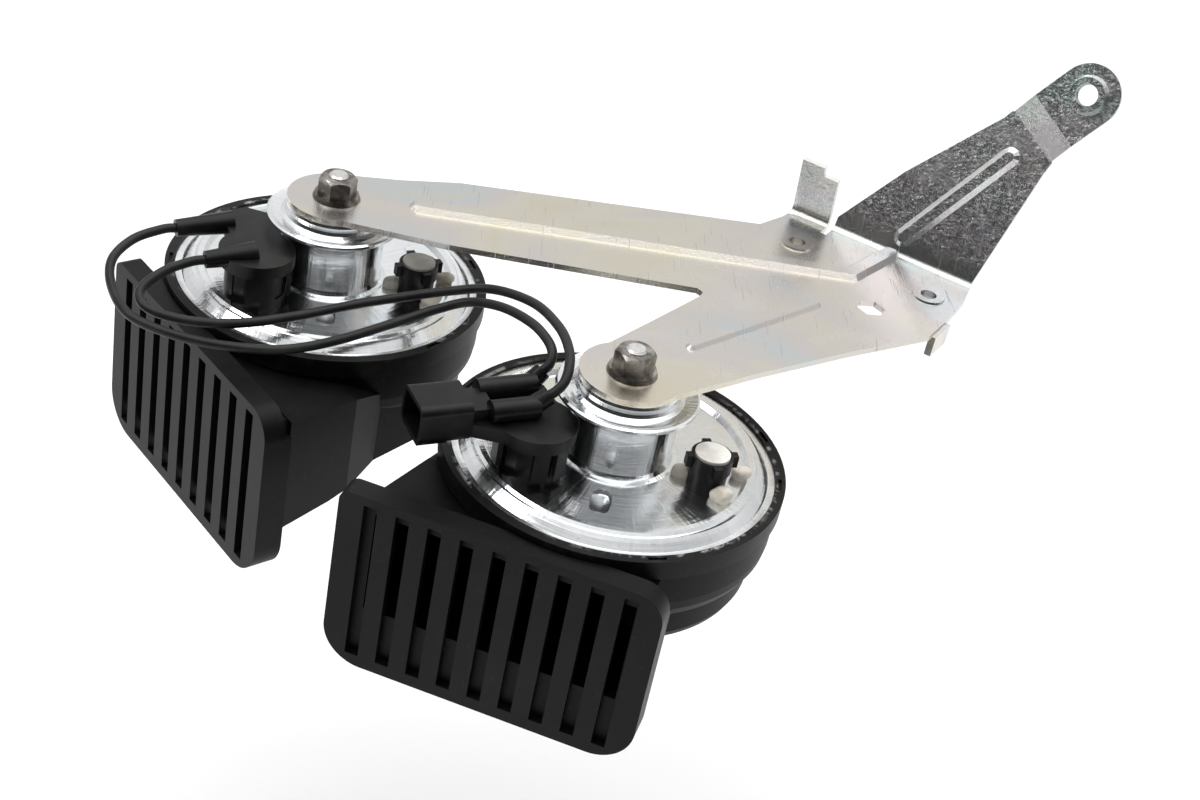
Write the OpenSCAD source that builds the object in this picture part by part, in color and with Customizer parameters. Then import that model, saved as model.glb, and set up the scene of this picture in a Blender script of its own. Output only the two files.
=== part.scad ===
// Dual snail car horn: two electric horns hung under one pressed bracket and
// joined by a two-wire harness. The origin is the tapped fixing hole in the
// bracket's upper pad, +Z is along the horns' axes, towards their nuts.

/* [Layout] */
// Right horn's axis to the left horn's, along X
horn_gap_x = 88; // [80:1:110]
// Right horn's axis to the left horn's, along Y
horn_gap_y = 71.3; // [66:0.1:90]
// Turn of the left horn's plate against the right one's
left_turn = 14; // [4:1:20]
// Turn of the right mouth from the X axis
right_mouth_turn = -18.5; // [-25:0.1:-10]
// Turn of the left mouth from the X axis
left_mouth_turn = -52.4; // [-58:0.1:-44]

/* [Housing] */
// Edge of the steel plate to the rim's outside
rim_w = 3; // [2.4:0.1:6]
// Height of the rim above the plate's edge
rim_h = 0.8; // [0.4:0.1:2]
// Height of the rim band below the plate's edge
band_h = 5; // [4:0.1:8]
// Set-back of the drum's wall under the rim band
drum_step = 1; // [0.2:0.1:2]
// Depth of the drum below the plate's edge
drum_h = 31.2; // [26:0.1:36]
// Set-back of the drum's lower step from its wall
step_w = 3.5; // [2.2:0.1:5]
// Depth of the step below the plate's edge
step_z = 20; // [16:0.5:24]
// Moulded wall
wall = 2.5; // [1.8:0.1:3.2]
// Radius of the throat hole
throat_r = 5; // [4:0.1:7]

/* [Mouth] */
// Width of the mouth cover
mouth_w = 90.5; // [84:0.5:96]
// Height of the mouth cover
mouth_h = 57.4; // [52:0.1:60]
// Depth of the cover's front below the plate's edge
mouth_drop = 1.2; // [1:0.1:5]
// Rim to the cover's front, along the duct
mouth_gap = 5; // [4.5:0.5:11]
// Sideways shift of the cover from the horn's axis
mouth_shift = 13; // [9:0.5:16]
// Thickness of the cover's front
grille_t = 2.5; // [1.5:0.1:3.5]
// Thickness of the cover's lips
lip_t = 2; // [1.4:0.1:2.6]
// Depth of the side lips
side_lip = 8.5; // [6:0.5:8.5]
// Depth of the top lip
top_lip = 6.7; // [5:0.1:8.5]
// Depth of the bottom lip
bottom_lip = 3; // [2.8:0.1:6]
// Upper corner radius
mouth_top_r = 8; // [4:0.5:11]
// Upper corner radius on the side that is on the left from in front
mouth_peak_r = 3.2; // [2.8:0.1:8]
// Lower corner radius
mouth_bottom_r = 12; // [8:0.5:14]
// Number of slots
slot_n = 9; // [5:1:9]
// Width of a slot
slot_w = 3.9; // [2:0.1:5]
// Height of a slot
slot_h = 50.9; // [40:0.1:52]
// Slot to slot
slot_pitch = 9.05; // [7:0.05:9.3]
// Top edge of the cover to the slots
slot_top = 2.7; // [2.2:0.1:4]
// Clearance of the cover round the duct's flange
grille_gap = 0.3; // [0.2:0.1:0.6]

/* [Duct] */
// Half width of the right duct's outer wall at its mouth
duct_mouth_right = 51; // [48:0.5:54]
// Half width of the left duct's outer wall at its mouth
duct_mouth_left = 57; // [53:0.5:57]
// Half width of the right duct's outer wall halfway
duct_mid_right = 46; // [45:0.5:48]
// Half width of the left duct's outer wall halfway
duct_mid_left = 52; // [48:0.5:53]
// Half width of the ducts' inner wall
duct_inner = 27; // [20:0.5:29]
// Depth of the duct's floor at its mouth
duct_floor = 42; // [38:0.5:46]
// Thickness of the duct's flange
flange_t = 2; // [1.5:0.1:2.5]
// Right flange's lower edge over the cover's lip
flange_lift_right = 0.6; // [0:0.1:6]
// Left flange's lower edge over the cover's lip
flange_lift_left = 4.8; // [0:0.1:6]

/* [Cover plate] */
// Radius of the steel plate
plate_r = 45.5; // [44.5:0.1:45.9]
// Steel thickness
plate_t = 1.2; // [0.8:0.1:1.4]
// Height of the plate's field over its edge
field_h = 1.6; // [1.2:0.1:2.4]
// Edge of the plate to its field, across the beads
bead_w = 9.1; // [8.2:0.1:9.6]
// Height of the ring bead over the plate's edge
bead_h = 3; // [2.6:0.1:4]
// Radius of the pot
pot_r = 15.5; // [14.8:0.1:16]
// Height of the pot over the plate's edge
pot_h = 20; // [18:0.5:21]
// Length of the oval dimple
dimple_l = 12.5; // [8:0.5:14]
// Width of the oval dimple
dimple_w = 7; // [5:0.5:8]
// Pot's wall to the dimple's middle
dimple_off = 10.5; // [9:0.5:11.5]

/* [Pot cap, stud and nut] */
// Width of the cap's brim past the pot
brim_w = 4.5; // [2.5:0.5:4.7]
// Steel thickness of the pot cap
cap_t = 1.2; // [0.8:0.1:1.5]
// Set-back of the cap's crown from the pot's wall
crown_step = 1.2; // [1:0.1:2]
// Height of the pot cap
cap_h = 5.2; // [4:0.1:7]
// Radius of the stud
stud_r = 2.9; // [2.4:0.1:3.4]
// Clearance round the stud in plate, cap and bracket
stud_gap = 0.35; // [0.2:0.05:0.6]
// Thread clearance in the nut
thread_gap = 0.05; // [0.03:0.01:0.1]
// Length of stud past the nut
stud_end = 0.8; // [0.2:0.1:3]
// Nut width across flats
nut_af = 10; // [9:0.5:11]
// Nut height with its flange
nut_h = 7; // [5:0.5:9]
// Radius of the nut's flange
nut_flange_r = 7.1; // [6.4:0.1:8]

/* [Magnet and diaphragm] */
// Radius of the iron core
core_r = 6; // [5:0.1:6.6]
// Air gap between core and armature
air_gap = 0.8; // [0.4:0.1:1.2]
// Clearance of the coil winding in the pot
coil_gap = 1.3; // [0.9:0.1:3]
// Thickness of the bobbin's walls
bobbin_t = 1.2; // [0.8:0.1:1.6]
// Fit between core, bobbin and armature parts
slide_gap = 0.1; // [0.05:0.05:0.2]
// Diaphragm steel thickness
diaphragm_t = 0.3; // [0.2:0.05:0.5]
// Depth of the diaphragm's dish
dish_h = 2.3; // [1.8:0.1:2.4]
// Thickness of the gasket
gasket_t = 0.5; // [0.3:0.1:0.8]
// Radius of the armature's flange
armature_r = 9.5; // [8.5:0.1:10.5]
// Radius of the rivet's shank
rivet_r = 2; // [1.5:0.1:2.4]

/* [Contacts and adjuster] */
// Pot's wall to the adjuster's axis
adjuster_off = 11.7; // [11:0.1:12.3]
// Adjuster's place round the plate
adjuster_turn = -23.5; // [-30:0.5:-15]
// Radius of the adjuster's holder
holder_r = 5.9; // [5.4:0.1:6.2]
// Height of the holder over the field
holder_h = 10; // [8:0.5:12]
// Radius of the adjuster's cap
disc_r = 5.1; // [4:0.1:5.1]
// Radius of the adjusting screw
screw_r = 2; // [1.5:0.1:2.3]
// Width of the contact carrier
carrier_w = 12; // [10.5:0.5:14]
// Width of the contact spring
spring_w = 6; // [4:0.5:8]
// Thickness of the contact spring
spring_t = 0.4; // [0.2:0.05:0.4]

/* [Terminals] */
// Pot's wall to the terminal block's axis
terminal_off = 11.9; // [11.1:0.1:12.3]
// Terminal block's place round the plate
terminal_turn = -150; // [-158:0.5:-144]
// Radius of the terminal block
terminal_r = 8.9; // [8:0.1:9]
// Top of the terminal block over the plate's edge
terminal_h = 12.5; // [11:0.1:13]
// Width of a terminal blade
blade_w = 6.3; // [4.8:0.1:6.3]
// Thickness of a terminal blade
blade_t = 0.8; // [0.6:0.1:1]
// Blade to blade
blade_pitch = 7; // [6.5:0.1:8]

/* [Harness] */
// Thickness of a connector's plate
conn_t = 4; // [3.6:0.1:4.5]
// Radius of a wire
wire_r = 1.4; // [1.2:0.05:1.6]
// Radius of a sleeve where it leaves the plate
sleeve_r = 3.5; // [3:0.1:3.8]
// Radius of a sleeve's tip
sleeve_tip_r = 2.5; // [2.1:0.1:2.9]
// Width of the plug shell
shell_w = 14.2; // [13:0.1:15]
// Height of the plug shell
shell_h = 11.5; // [10:0.1:12.5]
// Length of the plug shell
shell_l = 14.4; // [12:0.1:16]
// Wall of the plug shell
shell_wall = 1.3; // [1:0.1:1.6]
// Radius of a plug pin
pin_r = 1; // [0.8:0.05:1.3]
// Pin to pin
pin_pitch = 5.4; // [4.5:0.1:6]

/* [Bracket] */
// Sheet thickness
sheet_t = 1.8; // [1.2:0.1:2.2]
// Radius of the arms' ends
arm_r = 14.5; // [12:0.1:16]
// Inner radius of the bends
bend_r = 2.5; // [1.5:0.1:3.5]
// Turn of the bend line from the X axis
bend_turn = -30.7; // [-34:0.1:-28]
// Angle of the tail above the plate
tail_angle = 70; // [60:1:80]
// Angle of the hook above the plate
hook_angle = 97; // [90:1:105]
// Height of the hook
hook_h = 17; // [10:0.5:20]
// Width of the hook
hook_w = 12.9; // [9:0.1:12.9]
// Turn of the pad in the tail's plane
pad_turn = -33; // [-36:0.5:-28]
// Width of the pad
pad_w = 19; // [17:0.5:19.5]
// Tail's end to the fixing hole
pad_hole_at = 20.5; // [18:0.5:26]
// Step of the pad out of the tail's plane
jog_h = 2.5; // [1:0.1:3.5]
// Length of that step
jog_l = 8; // [6:0.5:9]
// Radius of the fixing hole's thread
fix_r = 3.4; // [3:0.05:4]
// Outer radius of the fixing hole's collar
fix_collar_r = 5.6; // [5:0.1:6.5]
// Height of the fixing hole's collar
fix_collar_h = 3; // [2:0.1:4]
// Radius of the two tapped holes in the plate
tap_r = 2.5; // [2:0.05:2.8]
// Depth of their collars below the sheet
tap_collar_h = 3; // [2:0.1:4]
// Width across flats of the hexagonal hole
hex_af = 7.6; // [6:0.1:9]
// Height of the beads
press_h = 1.5; // [0.8:0.1:1.7]
// Width of the long bead
long_bead_w = 8; // [6:0.1:9]
// Width of the short bead
short_bead_w = 4.5; // [3:0.1:5.5]

/* [Hidden] */
$fn = 64;
eps = 0.01;
big = 200;

// Heights over the plate's edge, from the top of the stack down
cap_top = pot_h + cap_h;
sheet_top = cap_top + sheet_t;
nut_top = sheet_top + nut_h;
pot_ceiling = pot_h - plate_t;
field_under = field_h - plate_t;
gasket_z = -plate_t - gasket_t;
seat_z = gasket_z - diaphragm_t;
dish_top = gasket_z - dish_h;
dish_under = dish_top - diaphragm_t;
armature_flange_t = 1.4;
armature_top = field_h;
core_foot = armature_top + air_gap;
ceiling_z = -band_h;
ceiling_t = 2;
spring_top = gasket_z - 0.1;
carrier_t = 1;
contact_t = 0.6;

// Radii and places that follow from the plate's and the pot's
seat_gap = 0.1;
rim_r = plate_r + rim_w;
drum_r = rim_r - drum_step;
step_r = drum_r - step_w;
mouth_reach = rim_r + mouth_gap;
field_r = plate_r - bead_w;
brim_r = pot_r + brim_w;
crown_r = pot_r - crown_step;
dimple_at = pot_r + dimple_off;
adjuster_at = pot_r + adjuster_off;
terminal_at = pot_r + terminal_off;
rim_in = plate_r + seat_gap;
clamp_r = plate_r - 4;
pot_in = pot_r - plate_t;
coil_r = pot_in - coil_gap;
holder_spigot_r = 4;
holder_foot_r = holder_r - 0.6;
bead_in = field_r + 1.1;
clip_foot = bead_h + 0.4;
terminal_spigot_r = terminal_r - 2;
spring_from = armature_r - 1.2;
spring_to = field_r - 2.6;
carrier_to = field_r - 1;

// Mouth, in its own frame: X along the mouth, Y from the mouth to the axis
front_y = -mouth_reach;
grille_back_y = front_y + grille_t;
side_back_y = front_y + side_lip;
flange_front_y = grille_back_y;
flange_back_y = flange_front_y + flange_t;
mouth_top = -mouth_drop;
mouth_inner_w = mouth_w - 2 * lip_t;

// Bracket: the bend line starts here, and the tail is drawn from it
bend_start = [53.7, 108.7];
tail_foot = 14.9;
tail_end_left = [53.7, 54.2];
tail_end_right = [70.7, 44.1];
tail_mid = (tail_end_left + tail_end_right) / 2;
left_axis = [-horn_gap_x, horn_gap_y];
tapped_holes = [[53.4, 87.6], [92.4, 66.9]];
hex_at = [73, 54.3];
bend_lap = 0.4;
bend_swell = 0.05;
tail_w = 62.4 - tail_foot;
long_bead = [left_axis + [25, 1.5], [69, 72.5], [83.2, 89.6]];
short_bead = [[17, 17], [34.7, 32.5], [55.6, 50.9]];
tail_bead = [[37, 6], [58.3, 41.1]];

// The fixing hole, in the tail's plane and then in the horns' frame
fix_in_tail = tail_mid + pad_hole_at * [-sin(pad_turn), cos(pad_turn)];
fix_on_bend = [fix_in_tail[0],
    fix_in_tail[1] * cos(tail_angle) - jog_h * sin(tail_angle),
    fix_in_tail[1] * sin(tail_angle) + jog_h * cos(tail_angle)];
fix_point = [
    bend_start[0] + fix_on_bend[0] * cos(bend_turn) - fix_on_bend[1] * sin(bend_turn),
    bend_start[1] + fix_on_bend[0] * sin(bend_turn) + fix_on_bend[1] * cos(bend_turn),
    sheet_top + fix_on_bend[2]];

// Connectors: each sits on its terminal block, turned this far
right_conn_turn = 24;
left_conn_turn = -154;
shell_back_x = -18.6;
shell_mid_y = 7;
shell_mid_z = 17.2;

// Routes of the two leads, from the left connector to the right one
outer_route = [
    [-132.4, 58.7, 15.5], [-136, 56.9, 15.4], [-143, 51, 14.2], [-147, 42, 12],
    [-145, 32, 9.5], [-138, 21, 8], [-126, 16, 7], [-111, 14.5, 6.5], [-95, 16, 7],
    [-81, 22, 8.5], [-66, 31.5, 11], [-54, 38, 14], [-45, 38, 18], [-36, 30.5, 22.5],
    [-28, 19, 26], [-23.5, 10.5, 26.8], [-21.6, 5.8, 25.6], [-22, 3.2, 23.4],
    [-23.4, 2.4, 21.8]];
inner_route = [
    [-121.2, 43.4, 15.5], [-125, 41.6, 15.2], [-132, 36.5, 13.5], [-136.5, 29, 11],
    [-133, 23, 9.5], [-122, 20.5, 9], [-108, 23, 9], [-92, 31, 9.5], [-77, 39, 11],
    [-65, 43, 13], [-51, 45, 16.5], [-39, 42, 21], [-27.5, 29.5, 26], [-20.5, 14, 29],
    [-17.6, 3, 29.2], [-17.2, -3.5, 27.8], [-18, -7.4, 25.4], [-19.8, -9, 23.3],
    [-21.4, -9.7, 22.1]];

// Places a piece of the right or left horn, turned with its plate
module on_right() {
    translate(-fix_point) children();
}

module on_left() {
    translate([left_axis[0], left_axis[1], 0] - fix_point)
        rotate([0, 0, left_turn]) children();
}

// Places a piece in a mouth's frame: the left horn is the right one's mirror image
module facing_right() {
    translate(-fix_point) rotate([0, 0, right_mouth_turn]) children();
}

module facing_left() {
    translate([left_axis[0], left_axis[1], 0] - fix_point)
        rotate([0, 0, left_mouth_turn]) mirror([1, 0, 0]) children();
}

module ring(inner, outer, low, high) {
    translate([0, 0, low]) difference() {
        cylinder(r = outer, h = high - low);
        translate([0, 0, -1]) cylinder(r = inner, h = high - low + 2);
    }
}

module at_adjuster() {
    rotate([0, 0, adjuster_turn]) translate([adjuster_at, 0, 0]) children();
}

module at_terminal() {
    rotate([0, 0, terminal_turn]) translate([terminal_at, 0, 0]) children();
}

// Flanged hexagon nut
module flange_nut() {
    flange_h = 1.4;
    color("#8a8078") translate([0, 0, sheet_top]) difference() {
        union() {
            cylinder(r1 = nut_flange_r, r2 = nut_flange_r - 0.5, h = flange_h);
            intersection() {
                cylinder(d = nut_af / cos(30), h = nut_h, $fn = 6);
                cylinder(r1 = nut_af / 2 + nut_h, r2 = nut_af / 2 - 0.2, h = nut_h);
            }
        }
        translate([0, 0, -1]) cylinder(r = stud_r + thread_gap, h = nut_h + 2);
    }
}

// Pressed cap on the pot: crown, cove and rolled brim
module pot_cap() {
    shoulder = 1.2;
    color("#c9cdd0") translate([0, 0, pot_h]) rotate_extrude()
        polygon([
            [crown_r - cap_t, 0], [brim_r - 0.3, 0], [brim_r, 0.4], [brim_r, cap_t],
            [brim_r - 0.6, cap_t + 0.4], [brim_r - 2, cap_t + 0.1], [crown_r + 1.6, cap_t],
            [crown_r + 0.4, cap_t + 0.6], [crown_r, cap_t + 1.6],
            [crown_r, cap_h - shoulder], [crown_r - 0.35, cap_h - 0.35],
            [crown_r - shoulder, cap_h], [stud_r + stud_gap, cap_h],
            [stud_r + stud_gap, cap_h - cap_t], [crown_r - cap_t - 0.5, cap_h - cap_t],
            [crown_r - cap_t, cap_h - cap_t - 0.5]]);
}

module oval(length, width, height) {
    linear_extrude(height) {
        translate([(length - width) / 2, 0]) circle(d = width);
        translate([-(length - width) / 2, 0]) circle(d = width);
        square([length - width, width], center = true);
    }
}

// Drawn steel cover: crimped edge, two rings, flat field and deep pot
module cover_plate() {
    dimple_turn = -99;
    dimple_depth = 1.6;
    emboss_turn = 24;
    emboss_at = 30.7;
    color("#c4c9cc") difference() {
        union() {
            rotate_extrude() polygon([
                [plate_r, -plate_t], [plate_r, 0], [plate_r - 2, 0], [plate_r - 3.6, 1.6],
                [plate_r - 4.6, bead_h - 0.5], [plate_r - 5.6, bead_h - 0.7],
                [plate_r - 6.4, bead_h], [bead_in, bead_h], [field_r, field_h],
                [pot_r + 1.8, field_h], [pot_r + 0.5, field_h + 0.5],
                [pot_r, field_h + 1.8], [pot_r, pot_h - 0.5], [pot_r - 0.5, pot_h],
                [stud_r + stud_gap, pot_h], [stud_r + stud_gap, pot_ceiling],
                [pot_in, pot_ceiling], [pot_in, field_h + 1.5], [pot_r - 0.4, field_under + 0.5],
                [pot_r + 1, field_under], [field_r + 0.4, field_under],
                [bead_in + 0.5, bead_h - plate_t], [plate_r - 6.2, bead_h - plate_t],
                [plate_r - 4.4, bead_h - plate_t - 0.5], [plate_r - 2.6, -plate_t]]);
            rotate([0, 0, dimple_turn]) translate([dimple_at, 0, field_under - dimple_depth])
                oval(dimple_l, dimple_w, dimple_depth + eps);
            rotate([0, 0, emboss_turn]) translate([emboss_at, 0, field_h - eps])
                rotate([0, 0, 80]) oval(8, 4, 0.6);
        }
        rotate([0, 0, dimple_turn]) translate([dimple_at, 0, field_h - dimple_depth])
            oval(dimple_l - 1.6, dimple_w - 1.6, dimple_depth + 1);
        at_adjuster() cylinder(r = holder_spigot_r + slide_gap, h = 3 * plate_t, center = true);
        at_adjuster() cylinder(r = holder_spigot_r + slide_gap, h = field_h + 1);
        at_terminal() translate([0, 0, field_under - 1])
            cylinder(r = terminal_spigot_r + slide_gap, h = plate_t + 2);
    }
}

// Turned iron core with the fixing stud on top
module core_stud() {
    color("#8f9498") union() {
        translate([0, 0, core_foot]) cylinder(r = core_r, h = pot_ceiling - core_foot);
        translate([0, 0, pot_ceiling - eps])
            cylinder(r = stud_r, h = nut_top + stud_end - 0.6 - pot_ceiling + eps);
        translate([0, 0, nut_top + stud_end - 0.6])
            cylinder(r1 = stud_r, r2 = stud_r - 0.6, h = 0.6);
    }
}

// Spool of the coil, seated against the pot's ceiling
module coil_bobbin() {
    low = core_foot + 0.6;
    color("#3a3f45") {
        ring(core_r + slide_gap, core_r + slide_gap + bobbin_t, low, pot_ceiling);
        ring(core_r + slide_gap + bobbin_t - eps, pot_in - 0.3, low, low + bobbin_t);
        ring(core_r + slide_gap + bobbin_t - eps, pot_in - 0.3,
            pot_ceiling - bobbin_t, pot_ceiling);
    }
}

module coil_winding() {
    color("#b0562a")
        ring(core_r + slide_gap + bobbin_t, coil_r,
            core_foot + 0.6 + bobbin_t, pot_ceiling - bobbin_t);
}

// Iron armature that the core pulls, riveted to the diaphragm
module armature() {
    color("#7d8287") translate([0, 0, dish_top]) difference() {
        union() {
            cylinder(r = armature_r, h = armature_flange_t);
            cylinder(r = core_r + 0.5, h = armature_top - dish_top);
        }
        translate([0, 0, -1]) cylinder(r = rivet_r + slide_gap, h = armature_top - dish_top + 2);
    }
}

// Rivet through armature and diaphragm, with its washer's head below
module armature_rivet() {
    head_t = 0.6;
    color("#9a9fa3") union() {
        translate([0, 0, dish_under - head_t]) cylinder(r = rivet_r + 2, h = head_t);
        translate([0, 0, dish_under - eps])
            cylinder(r = rivet_r, h = armature_top - dish_under + eps);
    }
}

// Spring steel sheet with a shallow dish, clamped round its edge
module diaphragm() {
    flat_r = clamp_r - 11.5;
    cone_r = clamp_r - 3.5;
    color("#a9aeb2") rotate_extrude() polygon([
        [rivet_r + slide_gap, dish_under], [flat_r, dish_under], [cone_r, seat_z],
        [plate_r, seat_z], [plate_r, gasket_z], [cone_r, gasket_z],
        [flat_r, dish_top], [rivet_r + slide_gap, dish_top]]);
}

module diaphragm_gasket() {
    color("#2b2b2b") ring(clamp_r, plate_r, gasket_z, -plate_t);
}

// Insulating strip under the plate that carries the contacts
module contact_carrier() {
    strip_from = pot_r + 1.4;
    pad_from = carrier_to - 5;
    hole_r = holder_spigot_r + slide_gap;
    color("#5b3a22") rotate([0, 0, adjuster_turn]) difference() {
        union() {
            translate([strip_from, -carrier_w / 2, field_under - carrier_t])
                cube([carrier_to - strip_from, carrier_w, carrier_t]);
            translate([pad_from, -spring_w / 2, spring_top])
                cube([carrier_to - pad_from - 1, spring_w, field_under - carrier_t - spring_top + eps]);
        }
        translate([adjuster_at, 0, field_under - carrier_t - 1])
            cylinder(r = hole_r, h = carrier_t + 2);
    }
}

// Spring strip: its free end lies over the armature's flange
module contact_spring() {
    color("#b5853a") rotate([0, 0, adjuster_turn])
        translate([spring_from, -spring_w / 2, spring_top - spring_t])
            cube([spring_to - spring_from, spring_w, spring_t]);
}

// Fixed contact strip with its silver button on the spring
module fixed_contact() {
    contact_from = pot_r + 1.6;
    contact_to = adjuster_at - holder_spigot_r - 0.6;
    strip_z = field_under - carrier_t - contact_t;
    color("#c8a45a") rotate([0, 0, adjuster_turn]) union() {
        translate([contact_from, -2.5, strip_z])
            cube([contact_to - contact_from, 5, contact_t]);
        translate([(contact_from + contact_to) / 2, 0, spring_top])
            cylinder(r = 1.3, h = strip_z - spring_top + eps);
    }
}

// Moulded holder of the adjusting screw, with side lugs
module adjuster_holder() {
    lug_h = 3.5;
    color("#161616") at_adjuster() difference() {
        union() {
            translate([0, 0, field_h]) cylinder(r = holder_foot_r, h = holder_h);
            translate([0, 0, field_h + holder_h - 4.5]) cylinder(r = holder_r, h = 4.5);
            translate([0, 0, field_under - carrier_t])
                cylinder(r = holder_spigot_r, h = plate_t + carrier_t + eps);
            for (turn = [35, 125, 215, 305])
                rotate([0, 0, turn]) translate([0, -1.2, field_h + holder_h - lug_h])
                    cube([holder_r + 1.4, 2.4, lug_h]);
        }
        translate([0, 0, field_h + holder_h - 2])
            cylinder(r = disc_r + slide_gap, h = 3);
        translate([0, 0, field_under - carrier_t - 1])
            cylinder(r = screw_r + slide_gap, h = holder_h + plate_t + carrier_t + 2);
    }
}

module adjuster_screw() {
    color("#b9a06a") at_adjuster() translate([0, 0, spring_top])
        cylinder(r = screw_r, h = field_h + holder_h - 2.2 - spring_top);
}

// Disc that closes the holder over the screw
module adjuster_cap() {
    color("#e4ddcc") at_adjuster() translate([0, 0, field_h + holder_h - 2])
        cylinder(r1 = disc_r, r2 = disc_r - 0.2, h = 2.6);
}

// Drops of sealing wax round the holder's foot, lying on the plate
module wax_seal() {
    color("#e3dac6") difference() {
        at_adjuster() translate([0, 0, field_h]) {
            wax_drop(183, 7, 2.7);
            wax_drop(325, 7.2, 2.9);
            wax_drop(52, 11.6, 2.7);
        }
        at_adjuster() cylinder(r = holder_foot_r, h = big);
        rotate_extrude() polygon([
            [0, -big], [plate_r, -big], [plate_r, bead_h], [bead_in, bead_h],
            [field_r, field_h], [0, field_h]]);
    }
}

module wax_drop(turn, reach, size) {
    rotate([0, 0, turn]) hull() {
        translate([reach, 0, size * 0.3]) sphere(r = size, $fn = 24);
        translate([reach + 0.5, size * 0.25, size * 0.7]) sphere(r = size * 0.75, $fn = 24);
    }
}

// Round moulded socket that carries the two blades
module terminal_block() {
    color("#141414") at_terminal() difference() {
        union() {
            translate([0, 0, field_h]) cylinder(r = terminal_r, h = terminal_h - field_h);
            translate([0, 0, field_under - 0.4])
                cylinder(r = terminal_spigot_r, h = plate_t + 0.4 + eps);
        }
        for (turn = [20, 110, 200, 290])
            rotate([0, 0, turn]) translate([terminal_r - 0.6, -2, field_h + 2])
                cube([2, 4, terminal_h]);
        blades(0, field_under - 2, terminal_h + 1);
    }
}

module blades(gap, low, high) {
    for (side = [-1, 1])
        translate([side * blade_pitch / 2 - blade_t / 2 - gap, -blade_w / 2 - gap, low])
            cube([blade_t + 2 * gap, blade_w + 2 * gap, high - low]);
}

module terminal_blades() {
    color("#c2a868") at_terminal()
        blades(0, field_under - 1.2, terminal_h + conn_t - 1.2);
}

// Folded brass sockets inside a connector, gripping the blades
module receptacle_pockets(gap) {
    for (side = [-1, 1])
        translate([side * blade_pitch / 2 - 1.4 - gap, -blade_w / 2 - 0.6 - gap, 0])
            cube([2.8 + 2 * gap, blade_w + 1.2 + 2 * gap, conn_t - 0.8]);
}

module receptacles() {
    color("#c9b277") at_terminal() translate([0, 0, terminal_h]) difference() {
        receptacle_pockets(0);
        translate([0, 0, -terminal_h]) blades(slide_gap, terminal_h - 1, terminal_h + conn_t);
    }
}

// Upper part of the housing: rim, diaphragm seat and ceiling with its throat
module trumpet_cover() {
    spigot_r = drum_r - wall - seat_gap;
    color("#181818") difference() {
        union() {
            ring(clamp_r - 1, rim_r, ceiling_z, seat_z);
            ring(rim_in, rim_r, seat_z - eps, rim_h);
            ring(throat_r, spigot_r, ceiling_z - ceiling_t, ceiling_z);
            ring(clamp_r - 1, spigot_r, ceiling_z - eps, ceiling_z + eps);
        }
        for (turn = [-58, 12, 40, 105, 170])
            rotate([0, 0, turn]) translate([rim_in + 0.7, -2.5, 0])
                cube([1, 5, rim_h + 1]);
    }
}

// Outline of a duct seen from above, in the mouth's frame
module duct_plan(out_mouth, out_mid, inset, front) {
    join_y = 8;
    side_x = drum_r - 1.2;
    polygon([
        [-out_mouth + inset, front], [-out_mouth + inset, side_back_y],
        [-out_mid + inset, -20.5], [-side_x + inset, -8], [-side_x + inset, join_y - inset],
        [-8, join_y - inset], [duct_inner - inset, -24], [duct_inner - inset, front]]);
}

// Side view of a duct: Y to the right, Z up
module duct_side(inset, front) {
    polygon([
        [front, ceiling_z - inset], [-21, -7.1 - inset], [-15, -9.3 - inset],
        [-4, -13.9 - inset], [12, -16 - inset], [12, -drum_h + inset],
        [3, -drum_h - 2.3 + inset], [-7, -drum_h - 4.8 + inset], [-17, -drum_h - 7.3 + inset],
        [-27, -duct_floor + 1.5 + inset], [side_back_y, -duct_floor + inset],
        [front, -duct_floor + inset]]);
}

module duct(out_mouth, out_mid, inset, front) {
    intersection() {
        translate([0, 0, -big / 2]) linear_extrude(big)
            duct_plan(out_mouth, out_mid, inset, front);
        rotate([90, 0, 90]) translate([0, 0, -big / 2]) linear_extrude(big)
            duct_side(inset, front);
    }
}

// Rounded outline of the mouth cover, smaller by inset, in X and Z; peak is the
// side of its smaller upper corner: 0 on +X, 1 on -X
module mouth_outline(peak, inset, drop) {
    half = mouth_w / 2 - inset;
    top = mouth_top - inset;
    bottom = mouth_top - mouth_h + drop;
    translate([-mouth_shift, 0]) difference() {
        translate([-half, bottom]) square([2 * half, top - bottom]);
        for (side = [0, 1]) mirror([side, 0]) {
            translate([half, top])
                corner_notch((side == peak ? mouth_peak_r : mouth_top_r) - inset);
            translate([half, bottom]) mirror([0, 1]) corner_notch(mouth_bottom_r - inset);
        }
    }
}

// What a rounded corner takes away
module corner_notch(radius) {
    translate([-radius, -radius]) difference() {
        square([radius + 1, radius + 1]);
        circle(r = radius);
    }
}

// A plate in the mouth's plane, from y1 back to y2
module mouth_slab(y1, y2) {
    translate([0, y2, 0]) rotate([90, 0, 0]) linear_extrude(y2 - y1) children();
}

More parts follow.
